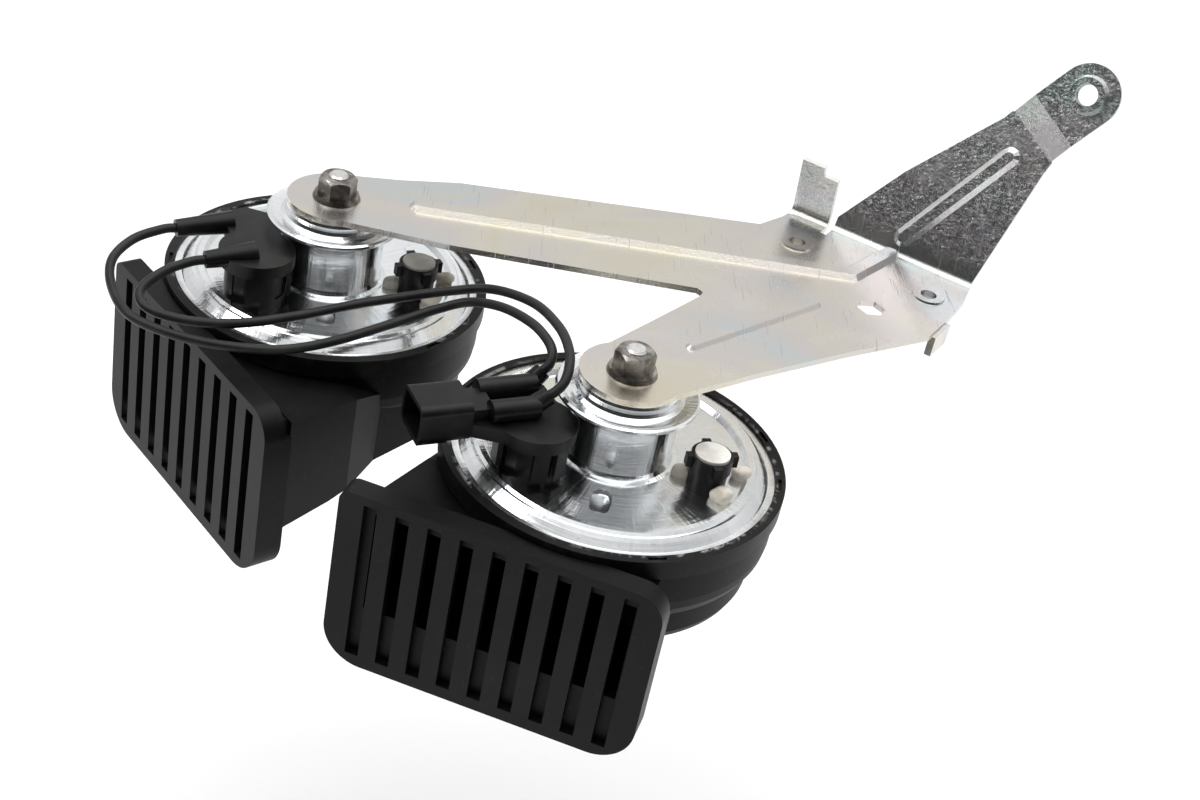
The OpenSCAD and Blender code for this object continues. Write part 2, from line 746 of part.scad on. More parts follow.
// Lower part of the housing: drum, sound channel, duct and its flange
module trumpet_body(peak, out_mouth, out_mid, flange_lift) {
    neck_out = min(out_mouth, mouth_inner_w / 2 + mouth_shift - grille_gap);
    floor_z = -drum_h + wall;
    color("#1a1a1a") difference() {
        union() {
            rotate_extrude() polygon([
                [0, -drum_h], [step_r - 3, -drum_h], [step_r - 0.9, -drum_h + 0.9],
                [step_r, -drum_h + 3], [step_r, -step_z - 0.6], [drum_r - 1.8, -step_z],
                [drum_r - 0.4, -step_z + 3], [drum_r, -step_z + 6], [drum_r, ceiling_z],
                [0, ceiling_z]]);
            duct(out_mouth, out_mid, 0, side_back_y + grille_gap);
            intersection() {
                duct(neck_out, neck_out, 0, flange_front_y);
                mouth_slab(flange_front_y - 1, side_back_y + wall)
                    mouth_outline(peak, lip_t + grille_gap, 3);
            }
            mouth_slab(flange_front_y, flange_back_y)
                mouth_outline(peak, lip_t + grille_gap, lip_t + grille_gap + flange_lift);
        }
        translate([0, 0, -step_z]) cylinder(r = drum_r - wall, h = step_z - band_h + 1);
        translate([0, 0, floor_z]) cylinder(r = step_r - wall, h = drum_h);
        duct(out_mouth, out_mid, wall, side_back_y - 1);
        intersection() {
            duct(neck_out, neck_out, wall, flange_front_y - 1);
            mouth_slab(flange_front_y - 1, side_back_y) square(big, center = true);
        }
    }
    color("#1a1a1a") intersection() {
        sound_channel();
        union() {
            translate([0, 0, -step_z]) cylinder(r = drum_r - wall + 0.5, h = step_z);
            translate([0, 0, floor_z - 0.5]) cylinder(r = step_r - wall + 0.5, h = drum_h);
        }
    }
}

// Partition that leads the sound once round the drum and out to the duct
module sound_channel() {
    steps = 30;
    start = -50;
    sweep = 250;
    r_start = 36;
    r_end = 24;
    top = ceiling_z - ceiling_t;
    function arm(i, extra) = (r_start + (r_end - r_start) * i / steps + extra)
        * [cos(start + sweep * i / steps), sin(start + sweep * i / steps)];
    translate([0, 0, -drum_h + 1]) linear_extrude(top + drum_h - 1) union() {
        polygon(concat(
            [for (i = [0 : steps]) arm(i, 0)],
            [for (i = [steps : -1 : 0]) arm(i, wall - 0.7)]));
        polygon([
            arm(steps, 0), [duct_inner - 1, -34], [duct_inner - 1, -36],
            arm(steps, wall - 0.7)]);
    }
}

// Slotted cover that snaps over the duct's flange
module mouth_grille(peak) {
    slot_row = slot_pitch * (slot_n - 1);
    straight = mouth_w / 2 - mouth_bottom_r;
    color("#202020") difference() {
        mouth_slab(front_y, side_back_y) mouth_outline(peak, 0, 0);
        mouth_slab(grille_back_y, side_back_y + 1) mouth_outline(peak, lip_t, lip_t);
        translate([-mouth_shift - mouth_w, front_y + top_lip, mouth_top - mouth_top_r])
            cube([2 * mouth_w, side_lip, mouth_top_r + 1]);
        translate([-mouth_shift - straight, front_y + bottom_lip, mouth_top - mouth_h - 1])
            cube([2 * straight, side_lip, mouth_bottom_r + 1]);
        for (i = [0 : slot_n - 1])
            translate([-mouth_shift - slot_row / 2 + slot_pitch * i - slot_w / 2,
                front_y - 1, mouth_top - slot_top - slot_h])
                cube([slot_w, grille_t + 2, slot_h]);
        translate([0, 0, mouth_top - mouth_top_r]) cylinder(r = rim_r + grille_gap, h = big);
    }
}

// Lays a rod's Z axis along the way from one point to another
module along(from, to) {
    way = to - from;
    translate(from) rotate([0, acos(way[2] / norm(way)), atan2(way[1], way[0])]) children();
}

// Moulded sleeve that ends where a lead starts, in line with the lead
module sleeve(route, end, length, root_r) {
    last = len(route) - 1;
    tip = end == 0 ? route[0] : route[last];
    next = end == 0 ? route[1] : route[last - 1];
    translate(-fix_point) along(tip, 2 * tip - next)
        cylinder(r1 = sleeve_tip_r, r2 = root_r, h = length);
}

// Places a piece on a terminal block, turned with its connector
module on_conn_right(turn) {
    on_right() at_terminal() rotate([0, 0, turn - terminal_turn]) children();
}

module on_conn_left(turn) {
    on_left() at_terminal() rotate([0, 0, turn - left_turn - terminal_turn]) children();
}

// Clips of a connector that reach down round its terminal block
module connector_clips(turns) {
    for (turn = turns)
        rotate([0, 0, turn]) translate([terminal_r + 0.15, -2.2, clip_foot])
            cube([1.5, 4.4, terminal_h + 1 - clip_foot]);
}

// Two-way connector of the left horn: a plate with two sleeves
module connector_left() {
    color("#1c1c1c") difference() {
        union() {
            on_conn_left(left_conn_turn) {
                translate([0, 0, terminal_h]) linear_extrude(conn_t) difference() {
                    union() {
                        circle(r = terminal_r + 2.2);
                        polygon([
                            [-7, 6.5], [5, 6], [5, -20], [3, -23], [-4, -24],
                            [-9, -20], [-10.8, -3]]);
                    }
                    on_plan_left(left_conn_turn) circle(r = pot_r + 1);
                }
                connector_clips([70, 160, 185]);
                translate([1, -24.5, terminal_h]) cube([3, 2.5, conn_t]);
            }
            sleeve(outer_route, 0, 17, sleeve_r);
            sleeve(inner_route, 0, 15, sleeve_r);
        }
        on_left() at_terminal() translate([0, 0, terminal_h]) receptacle_pockets(slide_gap);
        on_left() at_terminal() translate([0, 0, field_h])
            cylinder(r = terminal_r + 0.1, h = terminal_h - field_h);
    }
}

// Takes the plan of a horn's own frame into its connector's plan
module on_plan_left(turn) {
    rotate(terminal_turn + left_turn - turn) translate([-terminal_at, 0])
        rotate(-terminal_turn) children();
}

module on_plan_right(turn) {
    rotate(terminal_turn - turn) translate([-terminal_at, 0])
        rotate(-terminal_turn) children();
}

// Section of the plug shell: flat top and bottom, round corners
module shell_section(inset) {
    offset(r = 2.6 - inset) square([shell_w - 5.2, shell_h - 5.2], center = true);
}

// Connector of the right horn, moulded in one with the harness plug
module connector_right() {
    mouth_x = shell_back_x - shell_l;
    color("#1c1c1c") difference() {
        union() {
            on_conn_right(right_conn_turn) {
                translate([0, 0, terminal_h]) linear_extrude(conn_t) difference() {
                    union() {
                        circle(r = terminal_r + 2.2);
                        polygon([
                            [shell_back_x, 1], [-10, -4], [4, -7], [9, 1], [8, 15],
                            [-3, 21], [-8, 20], [-14, 14.5], [shell_back_x, 13]]);
                    }
                    on_plan_right(right_conn_turn) circle(r = pot_r + 1);
                }
                connector_clips([-65, -100, 175]);
                translate([-13, 2.2, shell_mid_z + 1.8]) rotate([0, 90, 0])
                    cylinder(r = sleeve_r - 0.3, h = 13.6);
                translate([-13, 12.6, shell_mid_z + 1.8]) rotate([0, 90, 0])
                    cylinder(r = sleeve_r - 0.5, h = 17);
                translate([mouth_x, shell_mid_y, shell_mid_z]) rotate([90, 0, 90])
                    linear_extrude(shell_l) shell_section(0);
                translate([shell_back_x - 1, shell_mid_y - 5, shell_mid_z - 4.7])
                    cube([8, 10, 7.5]);
                translate([mouth_x + 1, shell_mid_y - 3.5, shell_mid_z - shell_h / 2 - 2])
                    cube([8.5, 7, 2.5]);
            }
            sleeve(outer_route, 1, 6, sleeve_tip_r + 0.4);
            sleeve(inner_route, 1, 6, sleeve_tip_r + 0.4);
        }
        on_conn_right(right_conn_turn) {
            translate([mouth_x - 1, shell_mid_y, shell_mid_z]) rotate([90, 0, 90])
                linear_extrude(shell_l - 2) shell_section(shell_wall);
            translate([-9, 17, terminal_h - 1]) cylinder(r = 1, h = conn_t + 2);
            plug_pin_rods();
        }
        on_right() at_terminal() translate([0, 0, terminal_h]) receptacle_pockets(slide_gap);
        on_right() at_terminal() translate([0, 0, field_h])
            cylinder(r = terminal_r + 0.1, h = terminal_h - field_h);
    }
}

// The two pins in the plug, from the shell's floor towards its mouth
module plug_pin_rods() {
    pin_from = shell_back_x - shell_l + 3.5;
    pin_to = shell_back_x + 3;
    for (side = [-1, 1])
        translate([pin_from, shell_mid_y + side * pin_pitch / 2, shell_mid_z])
            rotate([0, 90, 0]) cylinder(r = pin_r, h = pin_to - pin_from);
}

module plug_pins() {
    color("#cfc7a8") on_conn_right(right_conn_turn) plug_pin_rods();
}

// Points halfway between a route's points, on a smooth curve through them
function at(route, i) = route[max(0, min(len(route) - 1, i))];
function halfway(route, i) =
    (9 * (at(route, i) + at(route, i + 1)) - at(route, i - 1) - at(route, i + 2)) / 16;
function smooth(route) = [
    for (i = [0 : len(route) - 1])
        for (half = [0 : i < len(route) - 1 && i > 0 && i < len(route) - 2 ? 1 : 0])
            half == 0 ? route[i] : halfway(route, i)];
function heading(path, i) =
    let (way = at(path, i + 1) - at(path, i - 1)) way / norm(way);
function ring_points(path, i, radius, sides) =
    let (ahead = heading(path, i),
        across = cross(ahead, [0, 0, 1]) / norm(cross(ahead, [0, 0, 1])),
        up = cross(across, ahead))
    [for (k = [0 : sides - 1])
        path[i] + radius * (cos(360 * k / sides) * across + sin(360 * k / sides) * up)];

// Round lead swept along a route, closed at both ends
module lead(route) {
    sides = 8;
    path = smooth(route);
    last = len(path) - 1;
    points = [for (i = [0 : last]) each ring_points(path, i, wire_r, sides)];
    skin = [for (i = [0 : last - 1], k = [0 : sides - 1])
        let (a = i * sides + k, b = i * sides + (k + 1) % sides)
            [a, b, b + sides, a + sides]];
    color("#151515") translate(-fix_point) polyhedron(
        points = points,
        faces = concat(skin, [[for (k = [sides - 1 : -1 : 0]) k]],
            [[for (k = [0 : sides - 1]) last * sides + k]]),
        convexity = 6);
}

module lead_outer() {
    lead(outer_route);
}

module lead_inner() {
    lead(inner_route);
}

// Outline of a bead over a chain of points: mitred sides and round ends
function side_way(chain, i) = [chain[i][1] - chain[i + 1][1], chain[i + 1][0] - chain[i][0]]
    / norm(chain[i + 1] - chain[i]);
function mitre(chain, i) =
    i == 0 ? side_way(chain, 0)
    : i == len(chain) - 1 ? side_way(chain, i - 1)
    : let (a = side_way(chain, i - 1), b = side_way(chain, i)) (a + b) / (1 + a * b);
function turned(way, angle) =
    [way[0] * cos(angle) - way[1] * sin(angle), way[0] * sin(angle) + way[1] * cos(angle)];
function bead_outline(chain, half) =
    let (last = len(chain) - 1)
    concat(
        [for (i = [0 : last]) chain[i] - half * mitre(chain, i)],
        [for (k = [1 : 5]) chain[last] - half * turned(mitre(chain, last), 30 * k)],
        [for (i = [last : -1 : 0]) chain[i] + half * mitre(chain, i)],
        [for (k = [1 : 5]) chain[0] + half * turned(mitre(chain, 0), 30 * k)]);

// A bead's flat faces, cut into convex parts: one between each two points and two ends
function bead_flats(n) = concat(
    [for (i = [0 : n - 2]) [i, i + 1, 2 * n + 3 - i, 2 * n + 4 - i]],
    [[for (k = [n - 1 : n + 5]) k]],
    [[for (k = [2 * n + 4 : 2 * n + 9]) k, 0]]);
function reversed(face, shift) = [for (k = [len(face) - 1 : -1 : 0]) face[k] + shift];

// A pressed bead with sloped sides, from the height low up to the height top
module bead(chain, foot_w, top_w, low, top) {
    foot = bead_outline(chain, foot_w / 2);
    back = bead_outline(chain, top_w / 2);
    count = len(foot);
    flats = bead_flats(len(chain));
    polyhedron(
        points = concat(
            [for (p = foot) [p[0], p[1], low]],
            [for (p = back) [p[0], p[1], top]]),
        faces = concat(
            flats,
            [for (face = flats) reversed(face, count)],
            [for (k = [0 : count - 1])
                [k, count + k, count + (k + 1) % count, (k + 1) % count]]));
}

// Outline of the bracket's flat plate
module plate_outline() {
    tail_side = bend_start + (tail_foot + tail_w) * [cos(bend_turn), sin(bend_turn)];
    difference() {
        union() {
            circle(r = arm_r);
            translate(left_axis) circle(r = arm_r);
            polygon([
                left_axis + [2.7, 0.6 - arm_r], left_axis + [35.1, -18.2],
                [6.1, 50.7], [20.1, 50.2], [21.8, 48.4], [20.8, 45.9], [5.5, 27.1],
                [-13.2, 4.6], [5.6, -12.9], [35.9, 9],
                [63.5, 27.3], [89.4, 43.2], [96.6, 54.2], [104.2, 68],
                tail_side, bend_start,
                [50.4, 104.2], [42.3, 96.4], left_axis + [35.6, 20.9],
                left_axis + [17.4, 16.7], left_axis + [-1, arm_r - 0.3]]);
        }
        for (hole = [[0, 0], left_axis])
            translate(hole) circle(r = stud_r + stud_gap);
        for (hole = tapped_holes)
            translate(hole) circle(r = tap_r);
        translate(hex_at) rotate(8) circle(d = hex_af / cos(30), $fn = 6);
    }
}

// A bend of the sheet along X, from the flat plate up; the sheets lap into it
module bend(from, width, angle) {
    run = bend_r * tan(angle / 2);
    translate([from, -run, bend_r]) rotate([0, 90, 0])
        rotate_extrude(angle = angle) translate([bend_r - bend_swell, 0])
            square([sheet_t + 2 * bend_swell, width]);
}

// Pressed and folded steel bracket: two arms, hook, tail and fixing pad
module bracket() {
    tail_run = bend_r * tan(tail_angle / 2);
    hook_run = bend_r * tan(hook_angle / 2);
    color("#cfd2cd") on_right() translate([0, 0, sheet_top]) difference() {
        union() {
            difference() {
                translate([0, 0, -sheet_t]) linear_extrude(sheet_t) plate_outline();
                translate([bend_start[0], bend_start[1], 0]) rotate([0, 0, bend_turn]) {
                    translate([tail_foot - 1, bend_lap - tail_run, -5]) cube([60, 20, 10]);
                    translate([-5, bend_lap - hook_run, -5]) cube([tail_foot + 4, 20, 10]);
                    translate([hook_w, -hook_run - 3, -5]) cube([tail_foot - hook_w, 6, 10]);
                }
            }
            bead(long_bead, long_bead_w, long_bead_w - 4, -sheet_t / 4, press_h);
            bead(short_bead, short_bead_w, short_bead_w - 2.8, -sheet_t / 4, press_h - 0.5);
            for (hole = tapped_holes)
                translate([hole[0], hole[1], -sheet_t - tap_collar_h]) difference() {
                    union() {
                        cylinder(r1 = tap_r + 1.6, r2 = tap_r + 2.2, h = tap_collar_h + 0.1);
                        cylinder(r = tap_r + 1.2, h = tap_collar_h + sheet_t + 0.6);
                        translate([0, 0, tap_collar_h + 0.4])
                            cylinder(r1 = tap_r + 3.2, r2 = tap_r + 2.4, h = sheet_t + 0.2);
                    }
                    translate([0, 0, -1]) cylinder(r = tap_r, h = tap_collar_h + sheet_t + 3);
                }
            translate([bend_start[0], bend_start[1], 0]) rotate([0, 0, bend_turn]) {
                bend(tail_foot, tail_w, tail_angle);
                bend(0, hook_w, hook_angle);
                rotate([tail_angle, 0, 0]) tail(tail_run - bend_lap);
                rotate([hook_angle, 0, 0]) translate([0, hook_run - bend_lap, -sheet_t]) {
                    cube([hook_w, hook_h - hook_run, sheet_t]);
                    cube([hook_w * 0.6, hook_h + 3 - hook_run, sheet_t]);
                }
            }
            translate([95.6, 53.6, -7]) rotate([0, 0, -123.2])
                cube([11, sheet_t + 0.3, 7 - sheet_t / 3]);
        }
        bead(long_bead, long_bead_w - 1, long_bead_w - 5.5, -sheet_t - 0.5, press_h - sheet_t);
    }
}

// Tail above the bend, drawn in its own plane: X along the bend, Y up the tail
module tail(run) {
    pad_r = pad_w / 2;
    difference() {
        union() {
            translate([0, 0, -sheet_t]) linear_extrude(sheet_t) polygon([
                [tail_foot, run], [tail_foot + tail_w, run], [69.4, 39], tail_end_right,
                tail_end_left, [52, 51.4], [29.6, 25], [tail_foot, 4]]);
            bead(tail_bead, long_bead_w - 1, long_bead_w - 5, -sheet_t / 4, press_h);
            translate([tail_mid[0], tail_mid[1], 0]) rotate([0, 0, pad_turn]) {
                intersection() {
                    rotate([90, 0, 90]) translate([0, 0, -pad_w]) linear_extrude(2 * pad_w)
                        polygon([
                            [-1.5, 0], [0, 0], [jog_l, jog_h], [pad_hole_at + pad_w, jog_h],
                            [pad_hole_at + pad_w, jog_h - sheet_t], [jog_l, jog_h - sheet_t],
                            [0, -sheet_t], [-1.5, -sheet_t]]);
                    translate([0, 0, -10]) linear_extrude(20) union() {
                        translate([-pad_r, -1.5]) square([pad_w, pad_hole_at + 1.5]);
                        translate([0, pad_hole_at]) circle(r = pad_r);
                    }
                }
                translate([0, pad_hole_at, jog_h - 0.5])
                    cylinder(r1 = fix_collar_r + 0.6, r2 = fix_collar_r - 0.4,
                        h = fix_collar_h + 0.5);
            }
        }
        translate([tail_mid[0], tail_mid[1], 0]) rotate([0, 0, pad_turn])
            translate([0, pad_hole_at, -10]) cylinder(r = fix_r, h = 30);
    }
}

bracket();
on_right() flange_nut();  // flange_nut_right
on_right() pot_cap();  // pot_cap_right
on_right() cover_plate();  // cover_plate_right
on_right() core_stud();  // core_stud_right
on_right() coil_bobbin();  // coil_bobbin_right
on_right() coil_winding();  // coil_winding_right
on_right() armature();  // armature_right
on_right() armature_rivet();  // armature_rivet_right
on_right() diaphragm();  // diaphragm_right
on_right() diaphragm_gasket();  // diaphragm_gasket_right
on_right() contact_carrier();  // contact_carrier_right
on_right() contact_spring();  // contact_spring_right
on_right() fixed_contact();  // fixed_contact_right
on_right() adjuster_holder();  // adjuster_holder_right
on_right() adjuster_screw();  // adjuster_screw_right
on_right() adjuster_cap();  // adjuster_cap_right
on_right() wax_seal();  // wax_seal_right
on_right() terminal_block();  // terminal_block_right
on_right() terminal_blades();  // terminal_blades_right
on_right() receptacles();  // receptacles_right
facing_right() trumpet_cover();  // trumpet_cover_right
facing_right() trumpet_body(1, duct_mouth_right, duct_mid_right, flange_lift_right);  // trumpet_body_right
facing_right() mouth_grille(1);  // mouth_grille_right
on_left() flange_nut();  // flange_nut_left
on_left() pot_cap();  // pot_cap_left
on_left() cover_plate();  // cover_plate_left
on_left() core_stud();  // core_stud_left
on_left() coil_bobbin();  // coil_bobbin_left
on_left() coil_winding();  // coil_winding_left
on_left() armature();  // armature_left
on_left() armature_rivet();  // armature_rivet_left
on_left() diaphragm();  // diaphragm_left
on_left() diaphragm_gasket();  // diaphragm_gasket_left
on_left() contact_carrier();  // contact_carrier_left
on_left() contact_spring();  // contact_spring_left
on_left() fixed_contact();  // fixed_contact_left
on_left() adjuster_holder();  // adjuster_holder_left
on_left() adjuster_screw();  // adjuster_screw_left
on_left() adjuster_cap();  // adjuster_cap_left
on_left() wax_seal();  // wax_seal_left
on_left() terminal_block();  // terminal_block_left
on_left() terminal_blades();  // terminal_blades_left
on_left() receptacles();  // receptacles_left
facing_left() trumpet_cover();  // trumpet_cover_left
facing_left() trumpet_body(0, duct_mouth_left, duct_mid_left, flange_lift_left);  // trumpet_body_left
facing_left() mouth_grille(0);  // mouth_grille_left
connector_right();
connector_left();
plug_pins();
lead_outer();
lead_inner();
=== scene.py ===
import bpy
import math
from mathutils import Euler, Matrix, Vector


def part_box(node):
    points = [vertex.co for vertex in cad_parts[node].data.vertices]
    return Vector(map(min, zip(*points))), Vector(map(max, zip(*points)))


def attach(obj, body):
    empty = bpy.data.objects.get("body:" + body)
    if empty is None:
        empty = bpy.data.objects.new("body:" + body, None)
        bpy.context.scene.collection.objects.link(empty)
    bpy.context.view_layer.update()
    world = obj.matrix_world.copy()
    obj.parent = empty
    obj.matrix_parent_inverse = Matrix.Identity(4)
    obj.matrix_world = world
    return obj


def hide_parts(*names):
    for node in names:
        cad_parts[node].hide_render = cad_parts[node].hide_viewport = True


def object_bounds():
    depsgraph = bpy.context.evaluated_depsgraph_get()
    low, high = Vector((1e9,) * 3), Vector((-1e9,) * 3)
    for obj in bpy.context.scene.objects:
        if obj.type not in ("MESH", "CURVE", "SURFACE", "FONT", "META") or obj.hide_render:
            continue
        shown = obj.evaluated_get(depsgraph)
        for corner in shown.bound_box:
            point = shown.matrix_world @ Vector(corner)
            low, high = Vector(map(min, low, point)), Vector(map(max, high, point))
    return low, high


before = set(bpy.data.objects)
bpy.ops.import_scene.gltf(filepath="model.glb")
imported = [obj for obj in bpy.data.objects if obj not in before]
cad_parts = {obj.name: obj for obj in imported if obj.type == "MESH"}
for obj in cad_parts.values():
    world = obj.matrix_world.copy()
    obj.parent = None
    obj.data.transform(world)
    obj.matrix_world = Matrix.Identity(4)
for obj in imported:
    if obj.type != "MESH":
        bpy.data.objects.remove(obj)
cad_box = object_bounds()

# The camera looks down on the horns at about 33 degrees, from in front of the
# right mouth, and is rolled a little, as the photograph shows them.
camera_data = bpy.data.cameras.new("photo_camera")
camera_data.lens = 56.103
camera_data.sensor_width = 36.0
camera_data.clip_start = 0.01
camera = bpy.data.objects.new("photo_camera", camera_data)
camera.location = (-0.183645, -0.510499, 0.205687)
camera.rotation_euler = Euler((math.radians(56.065), math.radians(-10.0656), 0.0))
bpy.context.scene.collection.objects.link(camera)
bpy.context.scene.camera = camera

# The two leads: soft black insulated wire of 2.8 mm, moulded into the sleeves of
# both connectors. Each lies over the left horn and rises to the right connector.
# Routes are in millimetres from the right horn's axis, at its plate's edge.
mm = 0.001
plate_t = 1.2 * mm
low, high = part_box("cover_plate_right")
right_horn = Vector(((low[0] + high[0]) / 2, (low[1] + high[1]) / 2, low[2] + plate_t))
low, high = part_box("cover_plate_left")
left_horn = Vector(((low[0] + high[0]) / 2, (low[1] + high[1]) / 2, low[2] + plate_t))

wire_r = 1.39 * mm
outer_route = [
    (-132.4, 58.7, 15.5), (-136, 56.9, 15.4), (-143, 51, 14.2), (-147, 42, 12),
    (-145, 32, 9.5), (-138, 21, 8), (-126, 16, 7), (-111, 14.5, 6.5), (-95, 16, 7),
    (-81, 22, 8.5), (-66, 31.5, 11), (-54, 38, 14), (-45, 38, 18), (-36, 30.5, 22.5),
    (-28, 19, 26), (-23.5, 10.5, 26.8), (-21.6, 5.8, 25.6), (-22, 3.2, 23.4),
    (-23.4, 2.4, 21.8)]
inner_route = [
    (-121.2, 43.4, 15.5), (-125, 41.6, 15.2), (-132, 36.5, 13.5), (-136.5, 29, 11),
    (-133, 23, 9.5), (-122, 20.5, 9), (-108, 23, 9), (-92, 31, 9.5), (-77, 39, 11),
    (-65, 43, 13), (-51, 45, 16.5), (-39, 42, 21), (-27.5, 29.5, 26), (-20.5, 14, 29),
    (-17.6, 3, 29.2), (-17.2, -3.5, 27.8), (-18, -7.4, 25.4), (-19.8, -9, 23.3),
    (-21.4, -9.7, 22.1)]


class Value:
    """One number on its way through a material: arithmetic on it adds Math nodes."""

    def __init__(self, tree, socket):
        self.tree = tree
        self.socket = socket

    def math(self, operation, *terms):
        node = self.tree.nodes.new("ShaderNodeMath")
        node.operation = operation
        for socket, term in zip(node.inputs, (self, *terms)):
            if isinstance(term, Value):
                self.tree.links.new(term.socket, socket)
            else:
                socket.default_value = term
        return Value(self.tree, node.outputs[0])

    def __add__(self, other):
        return self.math("ADD", other)

    def __mul__(self, other):
        return self.math("MULTIPLY", other)

    def __sub__(self, other):
        return self.math("SUBTRACT", other)

    def __rsub__(self, other):
        return self.math("MULTIPLY", -1.0).math("ADD", other)

    def __pow__(self, other):
        return self.math("POWER", other)

    __radd__ = __add__
    __rmul__ = __mul__

    def rise(self, start, end):
        """0 at start, 1 at end, straight between them and flat beyond."""
        slope = (self - start) * (1.0 / (end - start))
        return slope.math("MAXIMUM", 0.0).math("MINIMUM", 1.0)

    def near(self, place, reach):
        """1 at a place on the scale, and 0 from a reach away."""
        return 1.0 - (self - place).math("ABSOLUTE").rise(0.0, reach)


class Nodes:
    """A tree of nodes in the making, of a material or of the room's light."""

    def __init__(self, tree):
        self.tree = tree

    def node(self, kind, sockets, settings=None, output=0):
        """Any node: its settings, then the values or links of its sockets."""
        node = self.tree.nodes.new(kind)
        for name, value in (settings or {}).items():
            if name == "stops":
                marks = node.color_ramp.elements
                for _ in value[2:]:
                    marks.new(0.5)
                for mark, (position, colour) in zip(marks, value):
                    mark.position = position
                    mark.color = (*colour, 1.0)
            else:
                setattr(node, name, value)
        for name, value in sockets.items():
            socket = node.inputs[name]
            if isinstance(value, Value):
                self.tree.links.new(value.socket, socket)
            elif socket.type == "RGBA":
                socket.default_value = (*value, 1.0)
            else:
                socket.default_value = value
        return Value(self.tree, node.outputs[output])

    def axes(self, place):
        """A vector's three numbers."""
        split = self.node("ShaderNodeSeparateXYZ", {"Vector": place}).socket.node
        return [Value(self.tree, socket) for socket in split.outputs]


class Finish(Nodes):
    """A material in the making: its pattern, and the shader that shows it."""

    def __init__(self, name, **constants):
        self.material = bpy.data.materials.new(name)
        self.material.use_nodes = True
        super().__init__(self.material.node_tree)
        self.shader = self.tree.nodes["Principled BSDF"]
        for socket, value in constants.items():
            self.shader.inputs[socket.replace("_", " ")].default_value = value
        self.place = self.node("ShaderNodeTexCoord", {}, output="Object")

    def noise(self, scale, detail=3.0, rough=0.5, warp=0.0, place=None):
        return self.node("ShaderNodeTexNoise", {
            "Vector": place or self.place, "Scale": scale, "Detail": detail,
            "Roughness": rough, "Distortion": warp})

    def lay(self, location=(0, 0, 0), turn=(0, 0, 0), scale=(1, 1, 1)):
        """The object's coordinates, moved, turned and stretched."""
        return self.node("ShaderNodeMapping", {
            "Vector": self.place, "Location": location, "Rotation": turn, "Scale": scale})

    def mix(self, mask, first, second):
        """The first colour where the mask is 0, the second where it is 1."""
        return self.node("ShaderNodeMix", {0: mask, 6: first, 7: second},
                         {"data_type": "RGBA"}, 2)

    def ramp(self, height, *stops):
        return self.node("ShaderNodeValToRGB", {0: height}, {"stops": stops})

    def bump(self, height, strength, depth):
        return self.node("ShaderNodeBump", {
            "Height": height, "Strength": strength, "Distance": depth})

    def wear(self, names=(), **links):
        """Joins the pattern to the shader, and puts the finish on the named nodes."""
        for name, value in links.items():
            self.tree.links.new(value.socket, self.shader.inputs[name.replace("_", " ")])
        for name in names:
            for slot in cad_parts[name].material_slots:
                slot.material = self.material
        return self.material


def curve_through(route, steps):
    """Points on a smooth curve through a route, in the part's frame."""
    points = [right_horn + Vector(point) * mm for point in route]
    last = len(points) - 1
    line = []
    for i in range(last):
        a, b = points[max(i - 1, 0)], points[i]
        c, d = points[i + 1], points[min(i + 2, last)]
        for k in range(steps):
            t = k / steps
            line.append(0.5 * (2 * b + (c - a) * t + (2 * a - 5 * b + 4 * c - d) * t ** 2
                               + (3 * b - a - 3 * c + d) * t ** 3))
    return line + [points[last]]


insulation = Finish("lead_insulation", Specular_IOR_Level=0.25)
pores = insulation.noise(1500.0)
rubbed = insulation.noise(70.0, 3.0, 0.6)
insulation.wear(
    Base_Color=insulation.mix(rubbed.rise(0.4, 0.7), (0.009, 0.009, 0.009),
                              (0.026, 0.025, 0.024)),
    Roughness=0.26 + rubbed * 0.24 + pores * 0.06,
    Normal=insulation.bump(pores + rubbed * 0.5, 0.15, 0.1 * mm))

for name, route in (("lead_outer", outer_route), ("lead_inner", inner_route)):
    line = curve_through(route, 8)
    curve = bpy.data.curves.new(name + "_wire", "CURVE")
    curve.dimensions = "3D"
    curve.bevel_depth = wire_r
    curve.bevel_resolution = 5
    curve.use_fill_caps = True
    spline = curve.splines.new("POLY")
    spline.points.add(len(line) - 1)
    for point, place in zip(spline.points, line):
        point.co = (*place, 1.0)
    curve.materials.append(insulation.material)
    wire = bpy.data.objects.new(name + "_wire", curve)
    bpy.context.scene.collection.objects.link(wire)
    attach(wire, "root")
    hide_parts(name)
    sum((b - a).length for a, b in zip(line, line[1:]))

# The bracket: one pressed and folded steel sheet, zinc-plated and passivated to faint
# yellow, pink and blue, with the coating's crystals on the folded tail. Handling has
# left fine scratches and grey rubs on it. Faces of the tail and pad that look upwards
# carry a painted highlight, near white.
sheet_top_z = right_horn.z + 27.0 * mm
fold_start = sheet_top_z + 1.5 * mm
fold_end = sheet_top_z + 7.0 * mm
zinc = Finish("bracket_zinc", Metallic=1.0)
up = zinc.axes(zinc.place)[2]
lean = zinc.axes(zinc.node("ShaderNodeTexCoord", {}, output="Normal"))[2]
raised = up.rise(fold_start, fold_end)
# Painted highlight: the faces of the raised tail and pad that face upwards, towards the top
# light.
upward_painted_highlight = raised * lean.rise(0.42, 0.6)
folded = raised - upward_painted_highlight
clouds = zinc.noise(26.0, 4.0, 0.6, 0.6)
hues = zinc.noise(13.0, 3.0, 0.55, 1.1)
crystals = zinc.noise(620.0, 3.0, 0.6, 2.2)
grain = zinc.noise(2400.0, 2.0)
hair_a = zinc.noise(1.0, 1.0, place=zinc.lay(turn=(0, 0, math.radians(38)),
                                            scale=(1500.0, 45.0, 45.0)))
hair_b = zinc.noise(1.0, 1.0, place=zinc.lay(turn=(0, 0, math.radians(-52)),
                                            scale=(1300.0, 60.0, 60.0)))
hairs = (hair_a.rise(0.70, 0.76) + hair_b.rise(0.71, 0.77)) * (1.0 - folded * 0.8)
